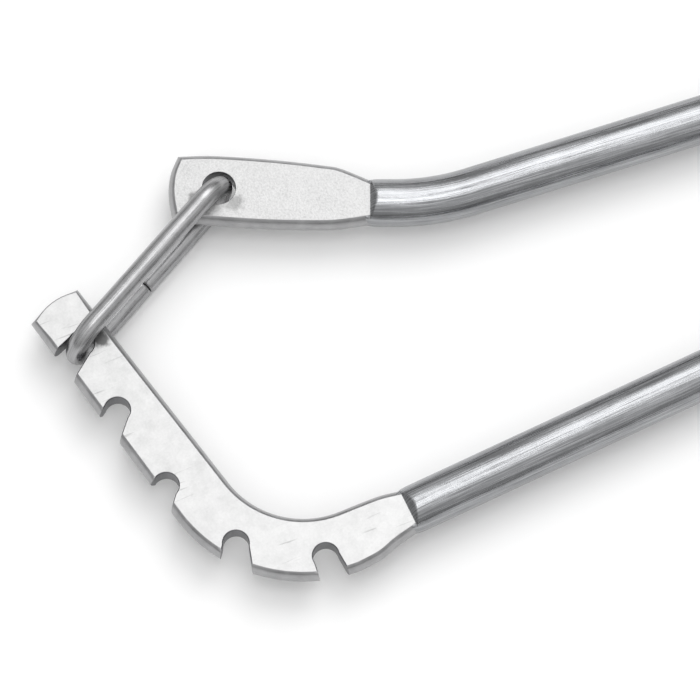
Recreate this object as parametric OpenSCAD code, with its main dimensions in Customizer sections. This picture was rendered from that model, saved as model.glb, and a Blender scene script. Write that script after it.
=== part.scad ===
// Case back opener: crossed pin tongs whose handles are held by a locking link.
// X runs along the tool from the lock end to the jaws, and Z is up. The origin is
// on the pivot axis, at the plane that the tool rests on.

/* [Arms] */
// Diameter of the round bar that both arms are forged from
bar_d = 8; // [8:0.2:9.6]
// Distance along X from the pivot to the neck of the notched head
notched_reach = 181.5; // [150:0.5:220]
// Distance along X from the notched head's neck to the bend near the eye head
eye_bend_ahead = 24; // [20:0.5:28]
// Distance from the tool's axis to each bar's centre line at the notched head's neck
handle_offset = 24.7; // [23:0.1:30]
// Angle between each straight bar and the tool's axis
handle_angle = 3.8; // [2.5:0.1:4.5]
// Angle between each arm's lap and the tool's axis
lap_angle = 24; // [22:0.5:32]
// Bend radius of the bars, on their centre line, near the lap
lap_bend_r = 22; // [14:1:34]

/* [Heads] */
// Thickness of both flattened heads
head_t = 4.1; // [3:0.1:5]
// Length of the ramp from a flat face up to the round bar
shoulder_l = 1.3; // [0.6:0.1:2.5]

/* [Notched head] */
// Inner radius of the hook's bend
hook_r = 15.3; // [12:0.1:20]
// Width of the flattened bar around the hook's bend
hook_w = 10.5; // [9:0.1:12]
// Angle between the hook's straight leg and the tool's axis
hook_lean = 105.3; // [95:0.1:115]
// How much the leg narrows towards its tip
hook_taper = 1.2; // [0:0.1:2]
// Length of the hook's leg, from the bend to the tip
hook_leg = 41.7; // [38:0.1:50]
// Distance along X from the neck to the centre of the hook's bend
hook_back = 10.8; // [8:0.1:16]
// How far the hook's bar lies outside the handle's bar at the neck
hook_drop = 1.05; // [0:0.05:2]
// Radius of the bottom of each notch
notch_r = 2.15; // [2:0.05:2.6]

/* [Eye head] */
// How much wider the eye is than the link's wire
eye_play = 2.15; // [1.8:0.05:2.6]
// Distance from the neck back to the eye
eye_back = 25.1; // [20:0.1:27]
// Distance of the eye above the bar's centre line
eye_rise = 2; // [0.5:0.1:3]
// Angle between the eye head and the tool's axis
eye_head_angle = 21.9; // [10:0.1:30]
// Length of straight bar between the eye head's neck and the bend
eye_stub = 10.7; // [8:0.1:16]
// Bend radius of the bar near the eye head, on its centre line
eye_bend_r = 41; // [20:1:50]

/* [Locking link] */
// Diameter of the link's wire
wire_d = 3.45; // [2.5:0.05:3.6]
// Distance between the wire centres of the link's two legs
link_gap = 10.3; // [9:0.1:13]
// Distance between the wire centres at the link's two ends
link_l = 37.4; // [36:0.1:40]
// Width of the seam where the wire's ends meet
seam_w = 0.15; // [0.05:0.05:0.4]
// Distance along the lower leg from the eye's end of the link to the seam
seam_at = 15; // [3:0.5:24]

/* [Pivot] */
// Diameter of each arm's pivot disc
disc_d = 18; // [16:0.5:22]
// Thickness of each arm at the lap
lap_t = 3.6; // [3:0.1:4.5]
// Thickness of the washer between the arms
lap_washer_t = 0.5; // [0.3:0.1:1]
// Outer diameter of the washer between the arms
lap_washer_d = 15; // [12:0.5:17]
// Diameter of the shoulder that the arms turn on
shoulder_d = 7; // [6:0.5:8]
// Diameter of the shoulder screw's thread
thread_d = 5; // [4:0.5:6]
// Width across flats of the shoulder screw's head
screw_head_af = 11; // [10:0.5:13]
// Width across flats of the nut
nut_af = 8; // [7:0.5:10]
// Height of the nut
nut_h = 4; // [3:0.5:5]
// Thickness of the washer under the nut
nut_washer_t = 1; // [0.8:0.1:1.6]
// Outer diameter of the washer under the nut
nut_washer_d = 12; // [10:0.5:14]
// Radial running clearance between the shoulder and the arms
run_gap = 0.05; // [0.02:0.01:0.1]
// Free height between the turning arm and the washers above and below it
face_gap = 0.1; // [0.05:0.05:0.3]

/* [Jaws] */
// Width of each jaw
jaw_w = 7.6; // [6:0.2:9]
// Distance from the pivot to each jaw's elbow
elbow_reach = 30; // [26:0.5:36]
// Distance from each jaw's elbow to its tip
jaw_l = 30; // [24:0.5:45]
// Angle between each jaw's outer part and the tool's axis
jaw_angle = 10; // [4:0.5:16]
// Diameter of the boss at each jaw's tip
boss_d = 10; // [9:0.5:12]
// Diameter of the jaw pin's shank
pin_d = 4; // [3:0.25:4.5]
// Diameter of the jaw pin's working end
pin_tip_d = 2; // [1:0.1:2.5]
// Length of the jaw pin's working end
pin_tip_l = 2.2; // [1.5:0.1:2.4]
// Depth of the flat that the set screw presses on
pin_flat = 0.5; // [0.3:0.1:0.8]
// Diameter of the set screw
set_screw_d = 3; // [2:0.5:3]

/* [Hidden] */
$fn = 64;

zinc = [0.80, 0.81, 0.82];
steel = [0.62, 0.63, 0.65];
hard_steel = [0.42, 0.43, 0.46];

bar_r = bar_d / 2;
run_in = 0.5;
bend_swell = 0.03;
wire_r = wire_d / 2;
eye_d = wire_d + eye_play;
eyed_reach = notched_reach - eye_bend_ahead;
neck_w = bar_r - 0.3;
sink = 0.1;
notch_step = 0.08;
tongue_w = bar_r - 1;
bore_gap = 0.03;
thread_gap = 0.05;
past = 1;
jaw_root = 6;
bar_bury = 2;
cut_l = 6;
tip_round = 0.6;
tip_swell = 0.75;
socket_gap = 0.3;
thread_past = 1;

// The bars' centre lines lie in one plane, high enough for the link's lower leg
mid_z = link_gap / 2 + wire_r;
lap_gap = lap_washer_t + face_gap;
lap_low = -lap_gap / 2 - lap_t;
lap_high = lap_gap / 2 + lap_t;

// Where the straight bars meet the lap lines, for the arm with its handle at +Y
lap_elbow_x = (handle_offset - notched_reach * tan(handle_angle)) / (tan(handle_angle) - tan(lap_angle));
lap_elbow = [lap_elbow_x, -lap_elbow_x * tan(lap_angle)];
lap_start = disc_d / 2 + jaw_root;
neck = [-notched_reach, -handle_offset];

// Eye head: the bar bends, runs straight over the stub and ends in the neck
eye_bend = [-eyed_reach, handle_offset - (notched_reach - eyed_reach) * tan(handle_angle)];
eye_neck = eye_bend - eye_stub * [cos(eye_head_angle), -sin(eye_head_angle)];

// Hook: one bend about hook_c, then a straight leg to the tip
hook_c = neck + [-hook_back, hook_r + hook_w / 2 - hook_drop];
outer_r = hook_r + hook_w;
outer_lean = hook_lean - hook_taper;

// Notches along the hook's outer edge: distance from the start of the leg (negative is
// around the bend), depth of the notch's centre, lean of its mouth, and mouth flare
NOTCHES = [
    [33.1, 4.5, 16, 16],
    [20.3, 2.7, 27, 17],
    [5.1, 1.7, 18, 40],
    [-11.3, 3.1, 27, 22],
    [-28.7, 3.5, 14, 12],
];

function on_circle(c, r, a) = c + r * [cos(a), sin(a)];
function arc(c, r, from, to, n) = [for (i = [0:n]) on_circle(c, r, from + (to - from) * i / n)];
function turned(p, a) = [p.x * cos(a) - p.y * sin(a), p.x * sin(a) + p.y * cos(a)];
function unit(v) = v / norm(v);
function but_last(p) = [for (i = [0:len(p) - 2]) p[i]];

// A point on the hook's outer edge, and the direction that the edge faces there
function edge_angle(s) = s >= 0 ? outer_lean + 90 : outer_lean + 90 - s / outer_r * 180 / PI;
function edge_point(s) = on_circle(hook_c, outer_r, edge_angle(s))
    + max(s, 0) * [cos(outer_lean), sin(outer_lean)];
function notch_centre(n) = edge_point(n[0]) - n[1] * [cos(edge_angle(n[0])), sin(edge_angle(n[0]))];

// A smooth curve through the points (Catmull-Rom), with n steps to each stretch
function knot(p, i) = p[max(0, min(i, len(p) - 1))];
function through(p, n) = concat([for (i = [0:len(p) - 2]) for (k = [0:n - 1])
    let (t = k / n, a = knot(p, i - 1), b = p[i], c = p[i + 1], d = knot(p, i + 2))
    (2 * b + (c - a) * t + (2 * a - 5 * b + 4 * c - d) * t * t
        + (3 * b - 3 * c + d - a) * t * t * t) / 2], [p[len(p) - 1]]);

// The link hooks in the first notch: it lies on the line from that notch to the eye
eye = eye_neck + turned([-eye_back, eye_rise], -eye_head_angle);
link_slack = 0.8;
link_dir = unit(notch_centre(NOTCHES[0]) - eye);
link_near = eye - link_slack * link_dir;
link_angle = atan2(link_dir.y, link_dir.x);

// A flattened head, from its outline
module plate(outline) {
    translate([0, 0, -head_t / 2]) linear_extrude(head_t) polygon(outline);
}

// A straight length of the bar along X, run a little into what it meets at both ends,
// with what follows placed at its far end
module run(length) {
    translate([-run_in, 0, 0]) rotate([0, 90, 0]) cylinder(h = length + 2 * run_in, r = bar_r);
    translate([length, 0, 0]) children();
}

// A bend of the bar, a hair fuller than the bar, to the left for a positive turn
module bend(turn, r) {
    side = sign(turn);
    translate([0, side * r, 0]) {
        rotate(side > 0 ? -90 : 90 + turn) rotate_extrude(angle = abs(turn))
            translate([r, 0]) circle(bar_r + bend_swell);
        rotate(turn) translate([0, -side * r, 0]) children();
    }
}

// The length that a bend takes up on each side of its corner
function bend_back(r, turn) = r * tan(abs(turn) / 2);

// Cuts a round bar down to the band from low to high, back from the neck at the
// origin, and leaves a ramp up to the full bar in front of it
module flats_cut(low, high, length) {
    reach = bar_r + past;
    rotate([90, 0, 0]) translate([0, 0, -reach]) linear_extrude(2 * reach) {
        polygon([[-length, high], [0, high], [shoulder_l, bar_r], [shoulder_l, reach], [-length, reach]]);
        polygon([[-length, low], [0, low], [shoulder_l, -bar_r], [shoulder_l, -reach], [-length, -reach]]);
    }
}

module notch(n) {
    mouth = edge_angle(n[0]) + n[2];
    open = 12;
    wall_r = notch_r - notch_step;
    spread = wall_r + open * tan(n[3] / 2);
    translate([0, 0, -head_t / 2 - past]) translate(notch_centre(n)) {
        cylinder(h = head_t + 2 * past, r = notch_r);
        rotate(mouth) linear_extrude(head_t + 2 * past)
            polygon([[0, wall_r], [open, spread], [open, -spread], [0, -wall_r]]);
    }
}

// Outline of an arm's flat end for the jaw at +Y: the lap's strip and disc, then the
// jaw with its elbow and the boss at its tip. It runs anticlockwise.
function jaw_tip(side) = elbow_reach * [cos(lap_angle), side * sin(lap_angle)]
    + jaw_l * [cos(jaw_angle), side * sin(jaw_angle)];
function flat_end() = let (
    half = jaw_w / 2,
    disc_open = asin(2 * half / disc_d),
    boss_open = 180 - asin(2 * half / boss_d),
    bisector = (lap_angle + jaw_angle) / 2,
    elbow = elbow_reach * [cos(lap_angle), sin(lap_angle)],
    corner = half / cos(lap_angle - bisector) * [-sin(bisector), cos(bisector)])
    concat(
        [turned([-lap_start, -half], lap_angle)],
        arc([0, 0], disc_d / 2, lap_angle - 180 + disc_open, lap_angle - disc_open, 16),
        [elbow - corner],
        arc(jaw_tip(1), boss_d / 2, jaw_angle - boss_open, jaw_angle + boss_open, 24),
        [elbow + corner],
        arc([0, 0], disc_d / 2, lap_angle + disc_open, lap_angle + 180 - disc_open, 16),
        [turned([-lap_start, half], lap_angle)]);

// The arm's flat end at full height, cut away above the lap as far as the jaw
module lap_and_jaw() {
    translate([0, 0, lap_low]) difference() {
        linear_extrude(lap_high - lap_low) polygon(flat_end());
        rotate(lap_angle) translate([-2 * lap_start, -disc_d, lap_t])
            cube([3 * lap_start, 2 * disc_d, lap_high - lap_low]);
    }
}

// The pin's bore, and the set screw's hole that meets it from the end of the jaw
module jaw_holes(side) {
    translate([0, 0, lap_low - past]) translate(jaw_tip(side))
        cylinder(h = lap_high - lap_low + 2 * past, d = pin_d + 2 * bore_gap);
    translate(jaw_tip(side)) rotate([0, 90, side * jaw_angle])
        cylinder(h = boss_d, d = set_screw_d + 2 * thread_gap);
}

module pivot_bore() {
    translate([0, 0, lap_low - past]) cylinder(h = lap_high - lap_low + 2 * past, r = shoulder_d / 2 + run_gap);
}

module hook() {
    inner_end = through([
        hook_c + [0, -hook_r],
        hook_c + [4, -hook_r + 0.05],
        hook_c + [7.5, -hook_r],
        neck + turned([0.3, neck_w], handle_angle)], 4);
    outer_end = through([
        neck + turned([0.3, -neck_w], handle_angle),
        hook_c + [7.2, 1.6 - outer_r],
        hook_c + [4, 0.5 - outer_r],
        hook_c + [0, -outer_r]], 4);
    tongue = [for (p = [[0.3, tongue_w], [2, tongue_w], [2, -tongue_w], [0.3, -tongue_w]])
        neck + turned(p, handle_angle)];
    tip_in = on_circle(hook_c, hook_r, hook_lean + 90) + hook_leg * [cos(hook_lean), sin(hook_lean)];
    tip_out = edge_point(hook_leg - tip_round);
    plate(concat(
        but_last(outer_end),
        arc(hook_c, outer_r, 270, outer_lean + 90, 16),
        through([tip_out, (tip_out + tip_in) / 2 + tip_swell * unit(tip_in - hook_c), tip_in], 4),
        but_last(arc(hook_c, hook_r, hook_lean + 90, 270, 16)),
        inner_end,
        tongue));
}

module notched_arm() {
    elbow = [lap_elbow.x, -lap_elbow.y];
    turn = lap_angle - handle_angle;
    back = bend_back(lap_bend_r, turn);
    color(zinc) translate([0, 0, mid_z]) difference() {
        union() {
            hook();
            difference() {
                translate(neck) rotate(handle_angle)
                    run(norm(elbow - neck) - back) bend(turn, lap_bend_r)
                        run(norm(elbow) - back - lap_start + bar_bury);
                translate(neck) rotate(handle_angle) flats_cut(sink - head_t / 2, head_t / 2 - sink, cut_l);
                rotate(lap_angle + 180) translate([lap_start, 0, 0])
                    flats_cut(-bar_r - past, lap_low + lap_t, cut_l);
            }
            lap_and_jaw();
        }
        for (n = NOTCHES) notch(n);
        pivot_bore();
        jaw_holes(1);
    }
}

module eye_head() {
    translate(eye_neck) rotate(-eye_head_angle) difference() {
        plate(concat(
            through([[0.3, neck_w], [-4.6, 5.8], [-7.5, 6.4], [-16, 7.4], [-26, 8.1], [-32, 7.95]], 4),
            [[-33.1, 5.2], [-33.5, 2.6], [-33.4, 0]],
            through([[-32.8, -3.2], [-26, -3.9], [-17, -4.5], [-8, -4.65], [-4.2, -4.4], [0.3, -neck_w]], 4),
            [[0.3, -tongue_w], [2, -tongue_w], [2, tongue_w], [0.3, tongue_w]]));
        translate([-eye_back, eye_rise, -head_t]) cylinder(h = 2 * head_t, d = eye_d);
    }
}

module eyed_arm() {
    eye_turn = eye_head_angle - handle_angle;
    lap_turn = handle_angle - lap_angle;
    eye_back_l = bend_back(eye_bend_r, eye_turn);
    lap_back_l = bend_back(lap_bend_r, lap_turn);
    color(zinc) translate([0, 0, mid_z]) difference() {
        union() {
            eye_head();
            difference() {
                translate(eye_neck) rotate(-eye_head_angle)
                    run(eye_stub - eye_back_l) bend(eye_turn, eye_bend_r)
                        run(norm(lap_elbow - eye_bend) - eye_back_l - lap_back_l) bend(lap_turn, lap_bend_r)
                            run(norm(lap_elbow) - lap_back_l - lap_start + bar_bury);
                translate(eye_neck) rotate(-eye_head_angle) flats_cut(sink - head_t / 2, head_t / 2 - sink, cut_l);
                rotate(180 - lap_angle) translate([lap_start, 0, 0])
                    flats_cut(lap_high - lap_t, bar_r + past, cut_l);
            }
            rotate([180, 0, 0]) lap_and_jaw();
        }
        pivot_bore();
        jaw_holes(-1);
    }
}

// A bent wire ring; its ends meet in a seam on the lower leg
module lock_link() {
    bend_r = link_gap / 2;
    leg = link_l - link_gap;
    color(steel) translate([0, 0, mid_z]) translate(link_near) rotate(link_angle) {
        for (end = [0, 1])
            translate([bend_r + end * leg, 0, 0]) rotate([90, 0, 0]) rotate(end == 0 ? 90 : -90)
                rotate_extrude(angle = 180) translate([bend_r, 0]) circle(wire_r);
        translate([bend_r, 0, bend_r]) rotate([0, 90, 0]) cylinder(h = leg, r = wire_r);
        translate([bend_r, 0, -bend_r]) rotate([0, 90, 0]) cylinder(h = seam_at, r = wire_r);
        translate([bend_r + seam_at + seam_w, 0, -bend_r]) rotate([0, 90, 0])
            cylinder(h = leg - seam_at - seam_w, r = wire_r);
    }
}

// Hexagon head, shoulder for the arms, thread for the nut
module pivot_screw() {
    head_h = mid_z + lap_low;
    grip_l = lap_high - lap_low + face_gap;
    thread_l = nut_washer_t + nut_h + thread_past;
    color(steel) {
        cylinder(h = head_h, d = screw_head_af / cos(30), $fn = 6);
        translate([0, 0, head_h]) cylinder(h = grip_l, d = shoulder_d);
        translate([0, 0, head_h + grip_l]) cylinder(h = thread_l, d = thread_d);
    }
}

module washer(z, h, outer_d, inner_d) {
    color(steel) translate([0, 0, z]) difference() {
        cylinder(h = h, d = outer_d);
        translate([0, 0, -past]) cylinder(h = h + 2 * past, d = inner_d);
    }
}

module lap_washer() {
    washer(mid_z - lap_gap / 2, lap_washer_t, lap_washer_d, shoulder_d + 2 * run_gap);
}

module nut_washer() {
    washer(mid_z + lap_high + face_gap, nut_washer_t, nut_washer_d, thread_d + 2 * run_gap);
}

// Hexagon nut with both ends chamfered
module pivot_nut() {
    across = nut_af / cos(30);
    chamfer = (across - nut_af) / 2;
    color(steel) translate([0, 0, mid_z + lap_high + face_gap + nut_washer_t]) difference() {
        intersection() {
            cylinder(h = nut_h, d = across, $fn = 6);
            rotate_extrude() polygon([[0, 0], [nut_af / 2, 0], [across / 2, chamfer],
                [across / 2, nut_h - chamfer], [nut_af / 2, nut_h], [0, nut_h]]);
        }
        translate([0, 0, -past]) cylinder(h = nut_h + 2 * past, d = thread_d + 2 * thread_gap);
    }
}

// Stepped pin: its working end stops at the resting plane, its shank fills the jaw
module jaw_pin(side) {
    top = mid_z + lap_high;
    press_z = mid_z - set_screw_d / 2 - 0.5;
    color(hard_steel) difference() {
        translate(jaw_tip(side)) {
            cylinder(h = pin_tip_l, d = pin_tip_d);
            translate([0, 0, pin_tip_l]) cylinder(h = top - pin_tip_l, d = pin_d);
        }
        translate(jaw_tip(side)) rotate(side * jaw_angle)
            translate([pin_d / 2 - pin_flat, -pin_d, press_z]) cube([pin_d, 2 * pin_d, set_screw_d + 1]);
    }
}

// Grub screw with a hexagon socket; its nose presses on the pin's flat
module set_screw(side) {
    nose = pin_d / 2 - pin_flat;
    length = boss_d / 2 - nose;
    socket_af = set_screw_d / 2;
    color(hard_steel) translate([0, 0, mid_z]) translate(jaw_tip(side)) rotate([0, 90, side * jaw_angle])
        difference() {
            translate([0, 0, nose]) cylinder(h = length - socket_gap, d = set_screw_d);
            translate([0, 0, nose + length / 2]) cylinder(h = length, d = socket_af / cos(30), $fn = 6);
        }
}

module left_jaw_pin() { jaw_pin(1); }
module right_jaw_pin() { jaw_pin(-1); }
module left_set_screw() { set_screw(1); }
module right_set_screw() { set_screw(-1); }

notched_arm();
eyed_arm();
lock_link();
pivot_screw();
lap_washer();
nut_washer();
pivot_nut();
left_jaw_pin();
right_jaw_pin();
left_set_screw();
right_set_screw();
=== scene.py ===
import math

import bpy
import numpy as np
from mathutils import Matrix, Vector
from mathutils.geometry import tessellate_polygon


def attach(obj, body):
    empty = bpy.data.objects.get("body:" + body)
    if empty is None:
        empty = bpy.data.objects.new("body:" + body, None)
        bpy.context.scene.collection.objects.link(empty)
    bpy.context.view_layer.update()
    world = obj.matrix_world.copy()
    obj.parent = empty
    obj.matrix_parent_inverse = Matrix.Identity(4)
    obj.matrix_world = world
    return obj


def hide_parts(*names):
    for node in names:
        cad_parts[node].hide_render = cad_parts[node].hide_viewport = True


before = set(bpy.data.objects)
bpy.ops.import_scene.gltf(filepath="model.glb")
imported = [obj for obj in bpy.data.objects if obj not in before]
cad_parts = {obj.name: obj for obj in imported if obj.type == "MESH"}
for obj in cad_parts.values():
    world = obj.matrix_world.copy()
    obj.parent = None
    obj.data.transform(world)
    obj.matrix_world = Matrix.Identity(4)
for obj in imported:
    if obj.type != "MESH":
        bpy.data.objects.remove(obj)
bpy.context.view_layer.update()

# Lengths are in millimetres and angles in degrees, in the CAD model's frame
mm = 0.001             # metres in a millimetre
midZ = 6.875           # height of the bars' centre lines
headThick = 4.1        # both flattened heads
barRadius = 4.0
neckHalf = 3.7         # half the width of a head where it meets its bar
neckStart = 0.3        # how far past its neck a head's outline starts
tongue = np.array([[0.6, -2.4], [2.0, -2.4], [2.0, 2.4], [0.6, 2.4]])   # from a head into its bar
smooth = {"hole": 48, "bar": 48, "wire": 32, "turned": 96}   # points round each section


# Rotate by a degrees: (x cos a - y sin a, x sin a + y cos a)
def turned(points, a):
    c, s = math.cos(math.radians(a)), math.sin(math.radians(a))
    p = np.atleast_2d(np.asarray(points, float))
    return np.stack([p[:, 0] * c - p[:, 1] * s, p[:, 0] * s + p[:, 1] * c], 1)


# Unit vectors at a degrees: (cos a, sin a)
def facing(a):
    a = np.radians(np.asarray(a, float))
    return np.stack([np.cos(a), np.sin(a)], -1)


# Circle of radius r about c: c + r (cos a, sin a), for n + 1 angles
def arc(c, r, start, end, n):
    return np.asarray(c, float) + r * facing(np.linspace(start, end, n + 1))


# Catmull-Rom curve: (2b + (c-a)t + (2a-5b+4c-d)t^2 + (3b-3c+d-a)t^3) / 2
def through(points, n):
    p = np.asarray(points, float)
    q = np.vstack([p[:1], p, p[-1:]])
    t = (np.arange(n) / n)[None, :, None]
    a, b, c, d = (q[i:len(q) - 3 + i, None, :] for i in range(4))
    curve = (2 * b + (c - a) * t + (2 * a - 5 * b + 4 * c - d) * t ** 2
             + (3 * b - 3 * c + d - a) * t ** 3) / 2
    return np.vstack([curve.reshape(-1, 2), p[-1:]])


# Straight line cut in n equal steps: a + (b - a) i / n
def straight(a, b, n):
    t = np.linspace(0, 1, n + 1)[:, None]
    return np.asarray(a, float) * (1 - t) + np.asarray(b, float) * t


# Line or outline moved in by the inset: each corner goes along its two sides' normals
# added, divided by (1 + their dot product), which is held off zero at sharp corners.
# Side 1 has the inside on the left, and -1 on the right.
def movedIn(line, inset, side=1, closed=False):
    sharpest = 0.35
    step = (np.roll(line, -1, 0) - line) if closed else np.diff(line, axis=0)
    step /= np.maximum(np.linalg.norm(step, axis=1, keepdims=True), 1e-9)
    n = side * np.stack([-step[:, 1], step[:, 0]], 1)
    before = np.roll(n, 1, 0) if closed else np.vstack([n[:1], n])
    after = n if closed else np.vstack([n, n[-1:]])
    dot = (before * after).sum(1, keepdims=True)
    return line + inset * (before + after) / np.maximum(1 + dot, sharpest)


# Faces between rings of equal length: rings i and i + 1, points j and j + 1
def strips(rings, points):
    i, j = np.meshgrid(np.arange(rings - 1), np.arange(points), indexing="ij")
    k = (j + 1) % points
    quads = [i * points + j, i * points + k, (i + 1) * points + k, (i + 1) * points + j]
    return np.stack(quads, -1).reshape(-1, 4)


# Two faces that close a stack of rings: the first ring reversed, and the last ring
def endCaps(rings, points):
    last = (rings - 1) * points
    return [tuple(range(points))[::-1], tuple(range(last, last + points))]


# Distance run along a line of points: the lengths of its steps added up, from 0
def runAlong(line):
    return np.concatenate([[0], np.cumsum(np.linalg.norm(np.diff(line, axis=0), axis=1))])


# Lay of a swept piece: every (distance along, angle times radius), ring by ring
def sweptLay(along, angles, radius):
    pairs = np.broadcast_arrays(along[:, None], (angles * radius)[None, :])
    return np.stack(pairs, -1).reshape(-1, 2)


# Closed shells that make up one piece: their points, faces, material numbers and lay
class Shells:
    def __init__(self):
        self.points, self.faces, self.mats, self.lay = [], [], [], []
        self.count = 0

    # Adds a shell; lay is one (along, around) pair for each point
    def add(self, points, faces, mats, lay):
        self.points.append(points)
        self.lay.append(lay)
        self.faces += [tuple(int(v) + self.count for v in f) for f in faces]
        self.mats += [int(m) for m in mats]
        self.count += len(points)

    # Makes the object; its UV map holds the lay in metres. Edges that turn by more than
    # the sharp angle stay crisp.
    def build(self, name, materials, sharp=35):
        mesh = bpy.data.meshes.new(name)
        mesh.from_pydata((np.vstack(self.points) * mm).tolist(), [], self.faces)
        mesh.polygons.foreach_set("material_index", np.array(self.mats, np.int32))
        corner = np.empty(len(mesh.loops), np.int32)
        mesh.loops.foreach_get("vertex_index", corner)
        uv = mesh.uv_layers.new(name="lay")
        uv.data.foreach_set("uv", (np.vstack(self.lay) * mm)[corner].astype(np.float32).ravel())
        for m in materials:
            mesh.materials.append(m)
        mesh.update()
        mesh.set_sharp_from_angle(angle=math.radians(sharp))
        # triangles only fill the level flats, which stay flat-shaded
        mesh.polygons.foreach_set("use_smooth", np.array([len(f) != 3 for f in self.faces]))
        thing = bpy.data.objects.new(name, mesh)
        bpy.context.scene.collection.objects.link(thing)
        return thing


# Plate between two flats: outlineAt(swell, edge) gives its anticlockwise outline for an
# inset of the swelling sides and an inset of every edge. A side ring at height h (-1 to 1)
# is inset by bulge h^2; the edges are rounded by a quarter circle. Holes stand upright,
# and their rims are cut by a small bevel.
def addPlate(shells, outlineAt, low, high, bulge, edge, mats, holes=(), steps=10):
    middle, half = (low + high) / 2, (high - low) / 2
    sideH = np.linspace(-1, 1, steps + 1) * (1 - edge / half)
    turn = np.radians([30, 60, 90])
    dip, slip = edge * (1 - np.sin(turn)), edge * (1 - np.cos(turn))
    z = np.concatenate([-half + dip[::-1], sideH * half, half - dip])
    swell = np.concatenate([np.full(3, bulge), bulge * sideH ** 2, np.full(3, bulge)])
    inset = np.concatenate([slip[::-1], np.zeros(steps + 1), slip])
    rings = [outlineAt(a, b) for a, b in zip(swell, inset)]
    n, rows = len(rings[0]), len(z)
    around = runAlong(rings[0])
    points = [np.column_stack([r, np.full(n, middle + k)]) for r, k in zip(rings, z)]
    lay = [np.column_stack([around, np.full(n, k)]) for k in z]
    faces = strips(rows, n).tolist()
    walls = mats.get("walls", np.zeros(n, bool))
    faceMats = list(np.tile(np.where(walls, mats.get("wall", mats["side"]), mats["side"]), rows - 1))
    loops = {False: [np.arange(n)], True: [np.arange((rows - 1) * n, rows * n)]}
    m, rim = smooth["hole"], 0.06
    for centre, radius in holes:
        start = sum(len(p) for p in points)
        stack = [(radius + rim, -half), (radius, -half + rim),
                 (radius, half - rim), (radius + rim, half)]
        for r, k in stack:
            ring = arc(centre, r, 0, 360, m)[:-1]
            points.append(np.column_stack([ring, np.full(m, middle + k)]))
            lay.append(np.column_stack([np.linspace(0, 2 * math.pi * r, m), np.full(m, k)]))
        faces += (start + strips(4, m)[:, ::-1]).tolist()
        faceMats += [mats.get("bore", mats["side"])] * (3 * m)
        loops[False].append(np.arange(start, start + m)[::-1])
        loops[True].append(np.arange(start + 3 * m, start + 4 * m)[::-1])
    points, lay = np.vstack(points), np.vstack(lay)
    for up, parts in loops.items():
        ids = np.concatenate(parts)
        level = [np.column_stack([points[part][:, :2], np.zeros(len(part))]).tolist()
                 for part in parts]
        for tri in tessellate_polygon(level):
            a, b, c = (points[ids[t]][:2] for t in tri)
            area = (b[0] - a[0]) * (c[1] - a[1]) - (b[1] - a[1]) * (c[0] - a[0])
            f = tuple(int(ids[t]) for t in tri)
            faces.append(f if (area > 0) == up else f[::-1])
            faceMats.append(mats["flat"])
    shells.add(points, faces, faceMats, lay)


# Unit directions along a path: the step from the point before to the point after
def headings(path):
    step = np.gradient(path, axis=0)
    return step / np.linalg.norm(step, axis=1, keepdims=True)


# Rings round a path: point + radius (cos a across + sin a upward), where upward is the
# path's direction crossed with across
def sweptRings(path, radius, across, angles):
    upward = np.cross(headings(path), across)
    c, s = np.cos(angles)[None, :, None], np.sin(angles)[None, :, None]
    return path[:, None] + radius[:, None, None] * (c * across[:, None] + s * upward[:, None])


# Bar of circular section swept along a path of points (with heights); the section's
# height is cut to the band between low and high at each ring, and both ends are closed
def addBar(shells, path, radius, low, high, mat):
    n, around = len(path), smooth["bar"]
    step = headings(path)
    across = np.stack([-step[:, 1], step[:, 0], np.zeros(n)], 1)
    a = np.linspace(0, 2 * math.pi, around, endpoint=False)
    rings = sweptRings(path, radius, across, a)
    rings[:, :, 2] = np.clip(rings[:, :, 2], low[:, None], high[:, None])
    faces = strips(n, around).tolist() + endCaps(n, around)
    lay = sweptLay(runAlong(path), a, radius.max())
    shells.add(rings.reshape(-1, 3), faces, [mat] * len(faces), lay)


# Turned piece about an upright axis: a profile of (radius, height) swept once round, each
# radius no more than the hexagon's, flat / cos(angle from the middle of a side). A ring's
# profile is a closed loop; a solid's has its two ends closed. With a pitch, a thread
# is cut in: depth times a triangle wave of (height / pitch - angle / 360)
def addTurned(shells, profile, mat, ring=False, hexFlat=None, thread=None):
    profile, around = np.asarray(profile, float), smooth["turned"]
    a = np.linspace(0, 2 * math.pi, around, endpoint=False)
    radius = np.repeat(profile[:, :1], around, 1)
    height = np.repeat(profile[:, 1:], around, 1)
    if hexFlat:
        radius = np.minimum(radius, hexFlat / np.cos(a % (math.pi / 3) - math.pi / 6)[None, :])
    if thread:
        pitch, depth, low, high = thread
        wave = np.abs(((height / pitch - a[None, :] / (2 * math.pi)) % 1) * 2 - 1)
        radius = radius - depth * wave * ((height > low) & (height < high))
    points = np.stack([radius * np.cos(a), radius * np.sin(a), height], -1).reshape(-1, 3)
    n = len(profile)
    faces = strips(n, around).tolist()
    if ring:
        j = np.arange(around)
        k, last = (j + 1) % around, (n - 1) * around
        faces += np.stack([last + j, last + k, k, j], -1).tolist()
    else:
        faces += endCaps(n, around)
    lay = sweptLay(runAlong(profile), a, profile[:, 0].max())
    shells.add(points, faces, [mat] * len(faces), lay)


# Rounded corner of a profile: a quarter circle of radius r from one side to the next
def rounded(radius, height, r, start):
    return arc([radius, height], r, start, start + 90, 4).tolist()


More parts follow.
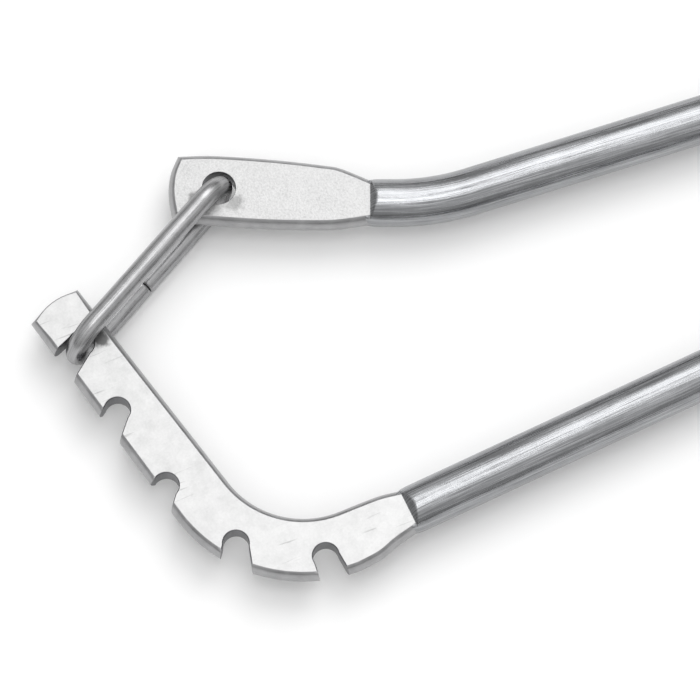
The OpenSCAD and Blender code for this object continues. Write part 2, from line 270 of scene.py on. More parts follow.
# Sizes of the notched head, the hook. A notch is its distance along the outer edge, the
# depth of its round end's centre, its mouth's lean and the angle between its walls.
hookSizes = {
    "innerRadius": 15.3, "width": 10.5, "lean": 105.3, "taper": 1.2, "leg": 41.7,
    "back": 10.8, "drop": 1.05, "neck": (-181.5, -24.7), "handleAngle": 3.8,
    "swell": 0.9, "edge": 0.16, "notchRadius": 2.15, "wallRadius": 2.07,
    "notches": [(33.1, 4.5, 16, 16), (20.3, 2.7, 27, 17), (5.1, 1.7, 18, 40),
                (-11.3, 3.1, 27, 22), (-28.7, 3.5, 14, 12)],
    "lowCurve": [(7.2, 1.6), (4, 0.5), (0, 0)],   # from the outer circle's lowest point
    "topCurve": [(4, 0.05), (7.5, 0)],            # from the inner circle's lowest point
    "tipCut": 0.6, "tipBulge": 0.75, "tipCalm": 7, "tipSwell": 0.3,
    "search": 14.0, "halvings": 40,
}
rise = hookSizes["innerRadius"] + hookSizes["width"] / 2 - hookSizes["drop"]
hookCentre = np.array(hookSizes["neck"]) + [-hookSizes["back"], rise]
outerRadius = hookSizes["innerRadius"] + hookSizes["width"]
outerLean = hookSizes["lean"] - hookSizes["taper"]


# Outer edge of the hook at distance s from the start of its leg (negative is around the
# bend): a circle about the bend's centre, then a straight line
def outerEdge(s):
    s = np.asarray(s, float)
    face = facing(outerLean + 90 - np.minimum(s, 0) / outerRadius * 180 / math.pi)
    return hookCentre + outerRadius * face + np.maximum(s, 0)[..., None] * facing(outerLean), face


# Distance s at which the edge, moved in by the inset, meets a notch's wall: the wall is
# |y| = wallRadius + grow + x tan(flare / 2) in the notch's own axes, found by halving
def lipAt(notch, side, inset, grow):
    s, depth, lean, flare = notch
    point, face = outerEdge(s)
    centre = point - depth * face
    mouth = facing(math.degrees(math.atan2(face[1], face[0])) + lean)
    cross = np.array([-mouth[1], mouth[0]])
    outside, within = s - side * hookSizes["search"], float(s)
    for _ in range(hookSizes["halvings"]):
        half = (outside + within) / 2
        p, f = outerEdge(half)
        d = p - inset * f - centre
        wall = hookSizes["wallRadius"] + grow + (d @ mouth) * math.tan(math.radians(flare / 2))
        outside, within = (half, within) if side * (d @ cross) > wall else (outside, half)
    return within


# A notch's outline: wall, circle round the back, wall; the walls meet the circle at
# flare / 2 + asin(wallRadius cos(flare / 2) / radius) from the mouth's direction
def notchLine(notch, first, last, grow):
    s, depth, lean, flare = notch
    point, face = outerEdge(s)
    r, w = hookSizes["notchRadius"] + grow, hookSizes["wallRadius"] + grow
    mouth = math.degrees(math.atan2(face[1], face[0])) + lean
    meet = flare / 2 + math.degrees(math.asin(w * math.cos(math.radians(flare / 2)) / r))
    root = arc(point - depth * face, r, mouth + meet, mouth + 360 - meet, 24)
    return np.vstack([straight(first, root[0], 8)[1:-1], root, straight(root[-1], last, 8)[1:]])


# The hook's outline, anticlockwise, with a flag on the points of its notch walls: a curve
# from the neck, the edge between notches, the cut tip, the inner edge, a curve to the
# neck and the tongue. The tip swells less: distance from it / tipCalm, at least tipSwell.
def hookOutline(swell, edge, flags=False):
    k, c, inset = hookSizes, hookCentre, swell + edge
    rIn, neck, along = k["innerRadius"], np.array(k["neck"]), facing(k["lean"])
    ends = [[neckStart, -neckHalf], [neckStart, neckHalf]]
    neckLow, neckTop = neck + turned(ends, k["handleAngle"])
    low = through([neckLow] + [c - [0, outerRadius] + p for p in k["lowCurve"]], 8)
    parts = [(movedIn(low, inset, -1)[:-1], False)]
    s = -(180 - outerLean) / 180 * math.pi * outerRadius
    for notch in k["notches"][::-1]:
        first, last = lipAt(notch, 1, inset, edge), lipAt(notch, -1, inset, edge)
        p, f = outerEdge(np.linspace(s, first, 14))
        parts.append((p - inset * f, False))
        end, face = outerEdge(last)
        parts.append((notchLine(notch, parts[-1][0][-1], end - inset * face, edge), True))
        s = last
    outer, _ = outerEdge(np.linspace(s, k["leg"] - k["tipCut"], 14))
    tipIn = c + rIn * facing(k["lean"] + 90) + k["leg"] * along
    tip = through([outer[-1], (outer[-1] + tipIn) / 2 + k["tipBulge"] * along, tipIn], 6)
    bend = arc(c, rIn, k["lean"] + 90, 270, 40)
    back = through([bend[-1]] + [c - [0, rIn] + p for p in k["topCurve"]] + [neckTop], 8)
    chain = np.vstack([outer, tip[1:-1], straight(tipIn, bend[0], 16)[:-1], bend[:-1], back])
    away = np.linalg.norm(chain - tip[len(tip) // 2], axis=1, keepdims=True)
    fullness = np.clip(away / k["tipCalm"], k["tipSwell"], 1)
    parts.append((movedIn(chain, swell * fullness + edge, -1)[1:], False))
    parts.append((neck + turned(tongue[::-1], k["handleAngle"]), False))
    if flags:
        return np.concatenate([np.full(len(p), w) for p, w in parts])[::-1]
    return np.vstack([p for p, _ in parts])[::-1]


# The eye head, in its own frame: the neck at the origin, the head towards -X
eyeSizes = {
    "neck": (-167.428, 27.0969), "turn": -21.9, "eye": (-25.1, 2.0), "eyeRadius": 2.8,
    "edge": 0.16, "swell": 0.9,
    "top": [(-4.6, 5.8), (-7.5, 6.4), (-16, 7.4), (-26, 8.1), (-32, 7.95)],
    "end": [(-32, 7.95), (-33.1, 5.2), (-33.5, 2.6), (-33.4, 0), (-32.8, -3.2)],
    "low": [(-32.8, -3.2), (-26, -3.9), (-17, -4.5), (-8, -4.65), (-4.2, -4.4)],
}


# The eye head's outline, anticlockwise: curves through the points of its top, end and
# low side, moved in by swell + edge, then the tongue
def eyeOutline(swell, edge):
    k = eyeSizes
    top = through([(neckStart, neckHalf)] + k["top"], 8)
    end = through(k["end"], 5)[1:-1]
    low = through(k["low"] + [(neckStart, -neckHalf)], 8)
    line = movedIn(np.vstack([top, end, low]), swell + edge)
    return np.array(k["neck"]) + turned(np.vstack([line, tongue]), k["turn"])


# The flat ends: the lap's disc with a strip through it, and the jaw, which bends at its
# elbow from angle to jawAngle and has a round boss at its tip
lapSizes = {
    "disc": 9.0, "half": 3.8, "start": 15.0, "past": 0.6, "angle": 24, "jawAngle": 10,
    "elbow": 30.0, "jaw": 30.0, "boss": 5.0, "thick": 3.6, "gap": 0.6, "edge": 0.3,
    "bore": 3.55, "pinBore": 2.03,
}
jawTip = (lapSizes["elbow"] * facing(lapSizes["angle"])
          + lapSizes["jaw"] * facing(lapSizes["jawAngle"]))


# The lap's outline: the strip's sides meet the disc at asin(half / disc) from its axis
def lapOutline(swell, edge):
    k = lapSizes
    ends, half = k["start"] + k["past"], k["half"]
    meet = math.degrees(math.asin(half / k["disc"]))
    right = arc([0, 0], k["disc"], meet - 180, -meet, 24)
    left = arc([0, 0], k["disc"], meet, 180 - meet, 24)
    line = np.vstack([[[-ends, -half]], right, [[ends, -half], [ends, half]],
                      left, [[-ends, half]]])
    return movedIn(turned(line, k["angle"]), swell + edge, 1, True)


# The jaw's outline: the elbow's corners are half / cos(half its bend) from the elbow, and
# the boss runs from 180 - asin(half / boss) on one side of the axis to the other
def jawOutline(swell, edge):
    k, half = lapSizes, lapSizes["half"]
    meet = 180 - math.degrees(math.asin(half / k["boss"]))
    between = (k["angle"] + k["jawAngle"]) / 2
    elbow = k["elbow"] * facing(k["angle"])
    corner = half / math.cos(math.radians(k["angle"] - between)) * facing(between + 90)
    line = np.vstack([turned([[k["start"], -half]], k["angle"]), elbow - corner,
                      arc(jawTip, k["boss"], k["jawAngle"] - meet, k["jawAngle"] + meet, 40),
                      elbow + corner, turned([[k["start"], half]], k["angle"])])
    return movedIn(line, swell + edge, 1, True)


# The same outline for the arm whose jaw is at -Y: mirrored, and run the other way
def mirrored(outlineAt):
    return lambda swell, edge: (outlineAt(swell, edge) * [1, -1])[::-1]


# A path of straights (length,) and bends (turn, radius), from a start and an angle: a
# bend's centre is one radius to the side it turns to
def pathOf(start, angle, pieces):
    points = [np.array([start], float)]
    at, heading = np.array(start, float), angle
    for piece in pieces:
        if len(piece) == 1:
            n = max(int(piece[0] / 2), 6)
            points.append(straight(at, at + piece[0] * facing(heading), n)[1:])
        else:
            turn, radius = piece
            side = math.copysign(1, turn)
            centre = at + radius * facing(heading + 90 * side)
            first = heading - 90 * side
            points.append(arc(centre, radius, first, first + turn, 18)[1:])
            heading += turn
        at = points[-1][-1]
    return np.vstack(points)


# What a bend takes off each straight beside it: radius tan(turn / 2)
def bendBack(turn, radius):
    return radius * math.tan(math.radians(turn / 2))


# Sizes of the arms' bars. The bar starts buried in its head, thin, and its shoulder rises
# a little after the neck; elbow is its corner before the lap, on the eyed arm's side.
barSizes = {
    "bury": 3, "lead": 1.6, "thin": 2.9, "thinRun": 4.6, "under": 0.03, "over": 0.05,
    "wait": 0.1, "rise": 1.3, "lapRise": 1.3, "lapOver": 0.1, "past": 1.5, "noCut": 9,
    "elbow": (-33.3804, 14.8619), "elbowRadius": 22,
    "eyeBend": (-157.5, 23.1059), "eyeBendRadius": 41, "eyeNeck": 10.7,
}


# The bar of an arm: half its width and half its height grow as a quarter sine over the
# first millimetres, and its end is cut level, straight-sloped, where it meets the lap
def armBar(shells, neck, angle, pieces, lapTop, lapBottom, mat):
    k, quarter = barSizes, math.pi / 2
    back = np.concatenate([np.linspace(-k["bury"], 0, 7)[:-1], np.linspace(0, k["lead"], 13)])
    lead = neck + back[:, None] * facing(angle)
    line = np.vstack([lead[:-1], pathOf(neck + k["lead"] * facing(angle), angle, pieces)])
    along = runAlong(line)
    grown = np.sin(np.clip(along / k["thinRun"], 0, 1) * quarter)
    radius = k["thin"] + (barRadius - k["thin"]) * grown
    risen = np.sin(np.clip((along - k["bury"] - k["wait"]) / k["rise"], 0, 1) * quarter)
    rise = headThick / 2 - k["under"] + (barRadius - headThick / 2 + k["over"]) * risen
    away = np.linalg.norm(line, axis=1)
    freed = np.clip((away - lapSizes["start"]) / k["lapRise"], 0, 1)
    full = barRadius + k["lapOver"]
    top = np.minimum(rise, lapTop + (full - lapTop) * freed)
    low = np.maximum(-rise, lapBottom - (full + lapBottom) * freed)
    path = np.column_stack([line, np.full(len(line), midZ)])
    addBar(shells, path, radius, midZ + low, midZ + top, mat)


# The wire link: an oval path in the upright plane through the link's axis, with a
# narrow gap where the two ends of the wire meet on the lower leg
linkSizes = {
    "near": (-189.265, 38.6917), "angle": -151.87, "gap": 10.3, "length": 37.4,
    "radius": 1.725, "seam": 0.15, "seamAt": 15.0, "trim": 0.25, "trimRun": 0.3,
}


# The link: lower leg from the seam, far bend, upper leg, near bend, lower leg to the
# seam. Its cut ends are rounded by trim times (1, 0.55, 0.2, 0) over trimRun.
def addLink(shells, mat, endMat):
    k, around = linkSizes, smooth["wire"]
    r, leg, run = k["gap"] / 2, k["length"] - k["gap"], np.array([k["trimRun"], 0])
    lowRight = straight([r + k["seamAt"] + k["seam"], -r], [r + leg, -r], 14)
    far = arc([r + leg, 0], r, -90, 90, 48)
    topLeg = straight([r + leg, r], [r, r], 28)
    near = arc([r, 0], r, 90, 270, 48)
    lowLeft = straight([r, -r], [r + k["seamAt"], -r], 16)
    flat = np.vstack([straight(lowRight[0], lowRight[0] + run, 3), lowRight[1:], far[1:],
                      topLeg[1:], near[1:], lowLeft[1:-1],
                      straight(lowLeft[-1] - run, lowLeft[-1], 3)])
    trim = k["trim"] * np.array([1.0, 0.55, 0.2, 0])
    radius = np.full(len(flat), k["radius"])
    radius[:4] -= trim
    radius[-4:] -= trim[::-1]
    d = facing(k["angle"])
    path = np.column_stack([np.array(k["near"]) + flat[:, :1] * d, midZ + flat[:, 1]])
    across = np.tile([-d[1], d[0], 0.0], (len(path), 1))
    a = np.linspace(0, 2 * math.pi, around, endpoint=False)
    rings = sweptRings(path, radius, across, a)
    faces = strips(len(path), around).tolist()
    mats = [mat] * len(faces) + [endMat] * 2
    lay = sweptLay(runAlong(path), a, k["radius"])
    shells.add(rings.reshape(-1, 3), faces + endCaps(len(path), around), mats, lay)


# Small node maker: node(tree, type, {input: value or socket}, property=value)
def node(tree, kind, inputs=None, **values):
    n = tree.nodes.new(kind)
    for key, value in values.items():
        setattr(n, key, value)
    for key, value in (inputs or {}).items():
        if isinstance(value, bpy.types.NodeSocket):
            tree.links.new(value, n.inputs[key])
        else:
            n.inputs[key].default_value = value
    return n


# Scales and bounds of the satin effect
satinLook = {
    "cloudScale": 420.0, "streakScale": 70.0, "streakStretch": 45.0, "roughShare": 0.35,
    "scratchScale": 120.0, "scratchStretch": 14.0, "scratchTurn": 0.7,
    "scratchFrom": 0.66, "scratchTo": 0.72,
}


# Shared effect: satin metal, from cloudy patches, fine grain, lengthwise streaks and thin
# scratches. Total is the sum of amount (noise - 0.5) over the first three. Out come
# shade = 1 + total - scratches, roughness = rough + roughShare total, and
# height = grain + streaks - scratches.
def makeSatin():
    k = satinLook
    group = bpy.data.node_groups.new("satinMetal", "ShaderNodeTree")
    face = group.interface
    face.new_socket(name="Place", in_out="INPUT", socket_type="NodeSocketVector")
    for name in ("Clouds", "Grain", "GrainScale", "Streaks", "Scratches", "Rough"):
        face.new_socket(name=name, in_out="INPUT", socket_type="NodeSocketFloat")
    for name in ("Shade", "Roughness", "Height"):
        face.new_socket(name=name, in_out="OUTPUT", socket_type="NodeSocketFloat")
    i = node(group, "NodeGroupInput")
    o = node(group, "NodeGroupOutput")

    def mathNode(kind, a, b):
        return node(group, "ShaderNodeMath", {0: a, 1: b}, operation=kind).outputs[0]

    def noise(where, scale, detail, rough=0.5):
        values = {"Vector": where, "Scale": scale, "Detail": detail, "Roughness": rough}
        return node(group, "ShaderNodeTexNoise", values).outputs[0]

    def amount(value, name):
        return mathNode("MULTIPLY", mathNode("SUBTRACT", value, 0.5), i.outputs[name])

    stretch = (1.0, k["streakStretch"], k["streakStretch"])
    along = node(group, "ShaderNodeMapping", {"Vector": i.outputs["Place"], "Scale": stretch})
    slanted = node(group, "ShaderNodeMapping", {
        "Vector": i.outputs["Place"], "Rotation": (0, 0, k["scratchTurn"]),
        "Scale": (1.0, k["scratchStretch"], 1.0)})
    lines = noise(slanted.outputs[0], k["scratchScale"], 2.0)
    thin = node(group, "ShaderNodeMapRange", {
        0: lines, 1: k["scratchFrom"], 2: k["scratchTo"], 3: 0.0, 4: 1.0}).outputs[0]
    clouds = amount(noise(i.outputs["Place"], k["cloudScale"], 5.0, 0.6), "Clouds")
    grain = amount(noise(i.outputs["Place"], i.outputs["GrainScale"], 3.0, 0.7), "Grain")
    streaks = amount(noise(along.outputs[0], k["streakScale"], 5.0, 0.65), "Streaks")
    total = mathNode("ADD", mathNode("ADD", clouds, grain), streaks)
    scratch = mathNode("MULTIPLY", thin, i.outputs["Scratches"])
    shade = mathNode("SUBTRACT", mathNode("ADD", total, 1.0), scratch)
    rough = mathNode("ADD", i.outputs["Rough"], mathNode("MULTIPLY", total, k["roughShare"]))
    height = mathNode("SUBTRACT", mathNode("ADD", grain, streaks), scratch)
    group.links.new(shade, o.inputs["Shade"])
    group.links.new(rough, o.inputs["Roughness"])
    group.links.new(height, o.inputs["Height"])
    return group


satin = makeSatin()


# Shared effect: a patch of painted shade with a ragged edge, the link's wire shading and
# mirrored in a flat. Its mask is 1 where the distance from the centre / size + noise is below
# 0.85, 0 above 1.25, and straight in between.
def makeWireShade():
    group = bpy.data.node_groups.new("wireShadeSpot", "ShaderNodeTree")
    face = group.interface
    face.new_socket(name="Place", in_out="INPUT", socket_type="NodeSocketVector")
    face.new_socket(name="Centre", in_out="INPUT", socket_type="NodeSocketVector")
    face.new_socket(name="Size", in_out="INPUT", socket_type="NodeSocketFloat")
    face.new_socket(name="Mask", in_out="OUTPUT", socket_type="NodeSocketFloat")
    i = node(group, "NodeGroupInput")
    o = node(group, "NodeGroupOutput")
    far = node(group, "ShaderNodeVectorMath", {0: i.outputs["Place"], 1: i.outputs["Centre"]},
               operation="DISTANCE").outputs["Value"]
    ragged = node(group, "ShaderNodeTexNoise", {
        "Vector": i.outputs["Place"], "Scale": 900.0, "Detail": 4.0}).outputs[0]
    edge = node(group, "ShaderNodeMath", {0: ragged, 1: i.outputs["Size"]}, operation="MULTIPLY")
    total = node(group, "ShaderNodeMath", {0: far, 1: edge.outputs[0]}, operation="ADD")
    share = node(group, "ShaderNodeMath", {0: total.outputs[0], 1: i.outputs["Size"]},
                 operation="DIVIDE").outputs[0]
    mask = node(group, "ShaderNodeMapRange", {0: share, 1: 1.25, 2: 0.85, 3: 0.0, 4: 1.0}).outputs[0]
    group.links.new(mask, o.inputs["Mask"])
    return group


shadeSpot = makeWireShade()


# A metal: colour times the effect's shade, and times 1 - strength in each patch of painted
# shade (a centre, a size and a strength) where the link's wire shades and is mirrored in a
# flat, with the effect's roughness and bump. Place is "uv" for parts with a lay along them,
# or "object".
def metal(name, colour, rough, clouds=0.1, grain=0.1, grainScale=4000.0, streaks=0.0,
          scratches=0.0, bump=0.00002, place="object", wireShade=()):
    material = bpy.data.materials.new(name)
    material.use_nodes = True
    tree = material.node_tree
    shader = tree.nodes["Principled BSDF"]
    if place == "uv":
        where = node(tree, "ShaderNodeUVMap", uv_map="lay").outputs[0]
    else:
        where = node(tree, "ShaderNodeTexCoord").outputs["Object"]
    effect = node(tree, "ShaderNodeGroup", node_tree=satin)
    tree.links.new(where, effect.inputs["Place"])
    for key, value in (("Clouds", clouds), ("Grain", grain), ("GrainScale", grainScale),
                       ("Streaks", streaks), ("Scratches", scratches), ("Rough", rough)):
        effect.inputs[key].default_value = value
    shade = node(tree, "ShaderNodeVectorMath", {0: colour, 1: effect.outputs["Shade"]},
                 operation="MULTIPLY").outputs[0]
    # each patch darkens the colour: painted shade and reflection of the link's wire
    for centre, size, strength in wireShade:
        shadeMark = node(tree, "ShaderNodeGroup", node_tree=shadeSpot)
        tree.links.new(node(tree, "ShaderNodeTexCoord").outputs["Object"], shadeMark.inputs["Place"])
        shadeMark.inputs["Centre"].default_value = centre
        shadeMark.inputs["Size"].default_value = size
        keep = node(tree, "ShaderNodeMapRange", {
            0: shadeMark.outputs[0], 1: 0.0, 2: 1.0, 3: 1.0, 4: 1 - strength}).outputs[0]
        shade = node(tree, "ShaderNodeVectorMath", {0: shade, 1: keep},
                     operation="MULTIPLY").outputs[0]
    tree.links.new(shade, shader.inputs["Base Color"])
    tree.links.new(effect.outputs["Roughness"], shader.inputs["Roughness"])
    shader.inputs["Metallic"].default_value = 1.0
    lift = node(tree, "ShaderNodeBump", {
        "Height": effect.outputs["Height"], "Distance": bump, "Strength": 1.0})
    tree.links.new(lift.outputs[0], shader.inputs["Normal"])
    return material


# The two patches darken the flat round the link's far end: painted shade and reflection of the wire
notchedFlat = metal("notched flat", (0.47, 0.47, 0.47), 0.40, clouds=0.5, grain=0.3,
                    grainScale=2500.0, scratches=0.25, bump=0.00002,
                    wireShade=[((-0.2177, 0.0213, 0.0089), 0.0026, 0.75),
                          ((-0.2245, 0.0205, 0.0089), 0.0016, 0.5)])
# The two patches darken the flat round the link's near end: painted shade and reflection of the wire
eyeFlat = metal("eye flat", (0.46, 0.46, 0.46), 0.46, clouds=0.35, grain=1.1,
                grainScale=2600.0, bump=0.00004,
                wireShade=[((-0.1885, 0.0350, 0.0089), 0.0026, 0.35),
                      ((-0.1945, 0.0385, 0.0089), 0.0014, 0.5)])
# The heads' sides: a darker copy of the head steel, painted shade for the darker surroundings the
# swelled sides face, over their own clouds and streaks
shadedHeadSide = metal("head side", (0.36, 0.36, 0.365), 0.34, clouds=0.8, grain=0.1, streaks=0.5,
                 place="uv")
# Notch walls, the eye's bore and the wire's cut ends: a near-black copy of the steel, painted shade
# in these recesses
recessShade = metal("notch wall", (0.17, 0.17, 0.18), 0.34, clouds=0.2, grain=0.3,
                  grainScale=1500.0)
rod = metal("rod", (0.31, 0.315, 0.325), 0.21, clouds=0.3, grain=0.15, streaks=2.6,
            bump=0.000012, place="uv")
lapFlat = metal("lap flat", (0.44, 0.44, 0.445), 0.36, clouds=0.5, grain=0.4, scratches=0.15)
wire = metal("wire", (0.36, 0.36, 0.365), 0.3, clouds=0.5, grain=0.2, streaks=1.6,
             bump=0.000012, place="uv")
fastener = metal("fastener", (0.40, 0.40, 0.41), 0.3, clouds=0.3, grain=0.3, scratches=0.03)
hardened = metal("hardened", (0.16, 0.16, 0.17), 0.26, clouds=0.1, grain=0.1)
print("materials ready")


# Heights of the heads and of the laps about the bars' centre lines, and the bends and
# last straights that both arms share
lap, bars = lapSizes, barSizes
headLow, headHigh = midZ - headThick / 2, midZ + headThick / 2
lapLow, lapHigh = -lap["gap"] / 2 - lap["thick"], lap["gap"] / 2 + lap["thick"]
handleAngle = hookSizes["handleAngle"]
lapBend = (lap["angle"] - handleAngle, bars["elbowRadius"])
lapBack = bendBack(*lapBend)
intoLap = np.linalg.norm(bars["elbow"]) - lapBack - lap["start"] + bars["past"]
flatKinds = {"side": 4, "flat": 4}

# Notched arm: head, bar, lap and jaw
arm = Shells()
kinds = {"side": 1, "flat": 0, "wall": 2, "walls": hookOutline(0, 0, True)}
addPlate(arm, hookOutline, headLow, headHigh, hookSizes["swell"], hookSizes["edge"], kinds)
elbow, neck = np.array(bars["elbow"]) * [1, -1], np.array(hookSizes["neck"])
handle = np.linalg.norm(elbow - neck) - lapBack - bars["lead"]
armBar(arm, neck, handleAngle, [(handle,), lapBend, (intoLap,)],
       lapLow + lap["thick"], -bars["noCut"], 3)
addPlate(arm, lapOutline, midZ + lapLow, midZ + lapLow + lap["thick"], 0, lap["edge"], flatKinds,
         [((0, 0), lap["bore"])], 2)
addPlate(arm, jawOutline, midZ + lapLow, midZ + lapHigh, 0, lap["edge"], flatKinds,
         [(jawTip, lap["pinBore"])], 2)
notchedArm = arm.build("notchedArm", [notchedFlat, shadedHeadSide, recessShade, rod, lapFlat])
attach(notchedArm, "notched_arm")
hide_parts("notched_arm")

# Eyed arm: the same, with a bend between its head and its handle
arm = Shells()
eyeAt = np.array(eyeSizes["neck"]) + turned([eyeSizes["eye"]], eyeSizes["turn"])[0]
addPlate(arm, eyeOutline, headLow, headHigh, eyeSizes["swell"], eyeSizes["edge"],
         {"side": 1, "flat": 0, "bore": 2}, [(eyeAt, eyeSizes["eyeRadius"])])
elbow, bendAt = np.array(bars["elbow"]), np.array(bars["eyeBend"])
eyeBend = (-eyeSizes["turn"] - handleAngle, bars["eyeBendRadius"])
eyeBack = bendBack(*eyeBend)
handle = np.linalg.norm(elbow - bendAt) - eyeBack - lapBack
armBar(arm, np.array(eyeSizes["neck"]), eyeSizes["turn"],
       [(bars["eyeNeck"] - eyeBack - bars["lead"],), eyeBend, (handle,),
        (-lapBend[0], lapBend[1]), (intoLap,)], bars["noCut"], lapHigh - lap["thick"], 3)
addPlate(arm, mirrored(lapOutline), midZ + lapHigh - lap["thick"], midZ + lapHigh, 0, lap["edge"],
         flatKinds, [((0, 0), lap["bore"])], 2)
addPlate(arm, mirrored(jawOutline), midZ + lapLow, midZ + lapHigh, 0, lap["edge"], flatKinds,
         [(jawTip * [1, -1], lap["pinBore"])], 2)
eyedArm = arm.build("eyedArm", [eyeFlat, shadedHeadSide, recessShade, rod, lapFlat])
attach(eyedArm, "eyed_arm")
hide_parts("eyed_arm")

# Link
piece = Shells()
addLink(piece, 0, 1)
link = piece.build("lockLink", [wire, recessShade])
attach(link, "lock_link")
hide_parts("lock_link")
print("arms and link ready")

# Screw, washers and nut at the pivot, heights from the resting plane. A washer is its
# bore and outer radius, its thickness and the rounding of its rim.
pivotSizes = {
    "headFlat": 5.5, "headFace": 5.4, "headCorner": 6.35, "headBevel": (0.55, 2.45),
    "headTop": 2.975, "shoulder": 3.5, "shoulderTop": 10.875, "step": 0.01,
    "thread": 2.5, "threadRings": 60, "threadEnds": (0.2, 0.5), "cutEnds": (0.1, 0.3),
    "tip": 2.05, "top": 16.875, "pitch": 0.8, "depth": 0.4,
    "nutFlat": 4.0, "nutCorner": 4.61, "nutBore": 2.55, "nutMouth": 2.85, "nutThick": 4.0,
    "mouthBevel": 0.3, "nutBevel": 0.6, "clear": 0.1,
    "lapWasher": (3.55, 7.5, 0.5, 0.1), "nutWasher": (2.55, 6.0, 1.0, 0.2),
}


# A washer's profile from a height: its outer corners are quarter circles
def washerProfile(low, sizes):
    inner, outer, thick, r = sizes
    high = low + thick
    return ([[inner, low]] + rounded(outer - r, low + r, r, -90) + rounded(outer - r, high - r, r, 0)
            + [[inner, high]])


k = pivotSizes
bevelLow, bevelHigh = k["headBevel"]
threadZ = np.linspace(k["shoulderTop"] + k["threadEnds"][0], k["top"] - k["threadEnds"][1],
                      k["threadRings"])
screwLine = np.vstack([
    [[k["headFace"], 0], [k["headCorner"], bevelLow], [k["headCorner"], bevelHigh],
     [k["headFace"], k["headTop"]], [k["shoulder"], k["headTop"]],
     [k["shoulder"], k["shoulderTop"]], [k["thread"], k["shoulderTop"] + k["step"]]],
    np.column_stack([np.full(k["threadRings"], k["thread"]), threadZ]), [[k["tip"], k["top"]]]])
cut = (k["pitch"], k["depth"], k["shoulderTop"] + k["cutEnds"][0], k["top"] - k["cutEnds"][1])
washerLow, washerHigh = midZ - lapSizes["gap"] / 2, midZ + lapHigh + k["clear"]
low, mouth, bevel = washerHigh + k["nutWasher"][2], k["mouthBevel"], k["nutBevel"]
high = low + k["nutThick"]
nutLine = [[k["nutBore"], low + mouth], [k["nutMouth"], low], [k["nutFlat"], low],
           [k["nutCorner"], low + bevel], [k["nutCorner"], high - bevel], [k["nutFlat"], high],
           [k["nutMouth"], high], [k["nutBore"], high - mouth]]
turnedPieces = [
    ("pivotScrew", "pivot_screw", screwLine, {"hexFlat": k["headFlat"], "thread": cut}),
    ("lapWasher", "lap_washer", washerProfile(washerLow, k["lapWasher"]), {"ring": True}),
    ("nutWasher", "nut_washer", washerProfile(washerHigh, k["nutWasher"]), {"ring": True}),
    ("pivotNut", "pivot_nut", nutLine, {"ring": True, "hexFlat": k["nutFlat"]})]
for name, cadName, line, extra in turnedPieces:
    piece = Shells()
    addTurned(piece, line, 0, **extra)
    thing = piece.build(name, [fastener], 25)
    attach(thing, "notched_arm")
    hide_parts(cadName)

# The pins and grub screws keep their CAD meshes
for name in ("left_jaw_pin", "right_jaw_pin", "left_set_screw", "right_set_screw"):
    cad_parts[name].data.materials.clear()
    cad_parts[name].data.materials.append(hardened)
print("all pieces ready")

# Floor: a square of pale paper, its tone slightly uneven
floorLook = {"reach": 2.0, "height": -0.00002, "patch": 8.0, "tone": (0.93, 0.95),
             "rough": 0.9, "shine": 0.1}
floorMesh = bpy.data.meshes.new("floor")
reach, height = floorLook["reach"], floorLook["height"]
floorMesh.from_pydata([(-reach, -reach, height), (reach, -reach, height), (reach, reach, height),
                       (-reach, reach, height)], [], [(0, 1, 2, 3)])
paper = bpy.data.materials.new("paper")
paper.use_nodes = True
tree = paper.node_tree
soft = node(tree, "ShaderNodeTexNoise", {
    "Vector": node(tree, "ShaderNodeTexCoord").outputs["Object"], "Scale": floorLook["patch"]})
darker, lighter = floorLook["tone"]
tone = node(tree, "ShaderNodeMapRange", {0: soft.outputs[0], 3: darker, 4: lighter})
shader = tree.nodes["Principled BSDF"]
tree.links.new(tone.outputs[0], shader.inputs["Base Color"])
shader.inputs["Roughness"].default_value = floorLook["rough"]
shader.inputs["Specular IOR Level"].default_value = floorLook["shine"]
floorMesh.materials.append(paper)
floor = bpy.data.objects.new("floor", floorMesh)
bpy.context.scene.collection.objects.link(floor)

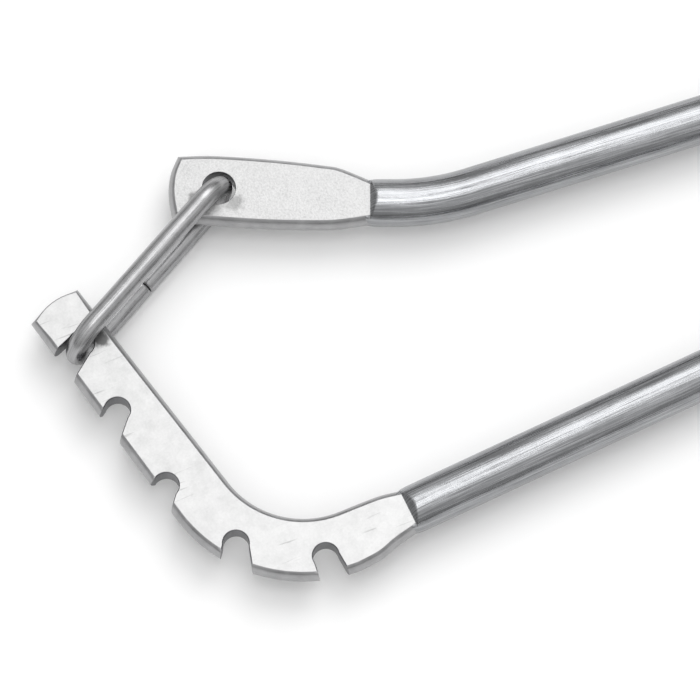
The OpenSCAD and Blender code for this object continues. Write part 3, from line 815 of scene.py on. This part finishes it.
# World: pale overhead and greyer towards the horizon, in a straight line of the height of
# the ray's direction
worldLook = {"overhead": 1.0, "horizon": 0.25, "strength": 1.15}
world = bpy.data.worlds.new("studio")
bpy.context.scene.world = world
world.use_nodes = True
tree = world.node_tree
direction = node(tree, "ShaderNodeNewGeometry").outputs["Incoming"]
height = node(tree, "ShaderNodeSeparateXYZ", {0: direction}).outputs[2]
glow = node(tree, "ShaderNodeMapRange", {
    0: height, 1: -1.0, 2: 0.0, 3: worldLook["overhead"], 4: worldLook["horizon"]}).outputs[0]
tree.links.new(glow, tree.nodes["Background"].inputs["Color"])
tree.nodes["Background"].inputs["Strength"].default_value = worldLook["strength"]


# Lights, each a place, a size and a power, and the point they are aimed at, in metres
lights = {"keyLight": ((0.25, 0.45, 0.9), (0.7, 0.7), 3.6),
          "topLight": ((-0.18, -0.05, 1.1), (0.35, 0.35), 1.2)}
lightAim = Vector((-0.18, 0, 0))


# Area light at a place, turned so that its axis runs from there to the aim
def softLight(name, place, size, power):
    light = bpy.data.lights.new(name, "AREA")
    light.shape, light.size, light.size_y, light.energy = "RECTANGLE", size[0], size[1], power
    thing = bpy.data.objects.new(name, light)
    thing.location = place
    thing.rotation_euler = (lightAim - Vector(place)).to_track_quat("-Z", "Y").to_euler()
    bpy.context.scene.collection.objects.link(thing)


for name, values in lights.items():
    softLight(name, *values)
print("lights ready")

# Camera: from its target, in the direction (sin azimuth cos elevation,
# -cos azimuth cos elevation, sin elevation), at a distance in metres
view = {"azimuth": -21.9, "elevation": 73.5, "distance": 1.2, "lens": 372.9,
        "sensor": 36.0, "farthest": 10.0, "target": (-0.180, 0.00465, midZ * mm)}
azimuth, elevation = math.radians(view["azimuth"]), math.radians(view["elevation"])
away = Vector((math.sin(azimuth) * math.cos(elevation),
               -math.cos(azimuth) * math.cos(elevation), math.sin(elevation)))
lens = bpy.data.cameras.new("camera")
lens.lens, lens.sensor_width, lens.clip_end = view["lens"], view["sensor"], view["farthest"]
camera = bpy.data.objects.new("camera", lens)
camera.location = Vector(view["target"]) + away * view["distance"]
camera.rotation_euler = away.to_track_quat("Z", "Y").to_euler()
bpy.context.scene.collection.objects.link(camera)
bpy.context.scene.camera = camera
bpy.context.scene.view_settings.view_transform = "Standard"

print("scene ready")
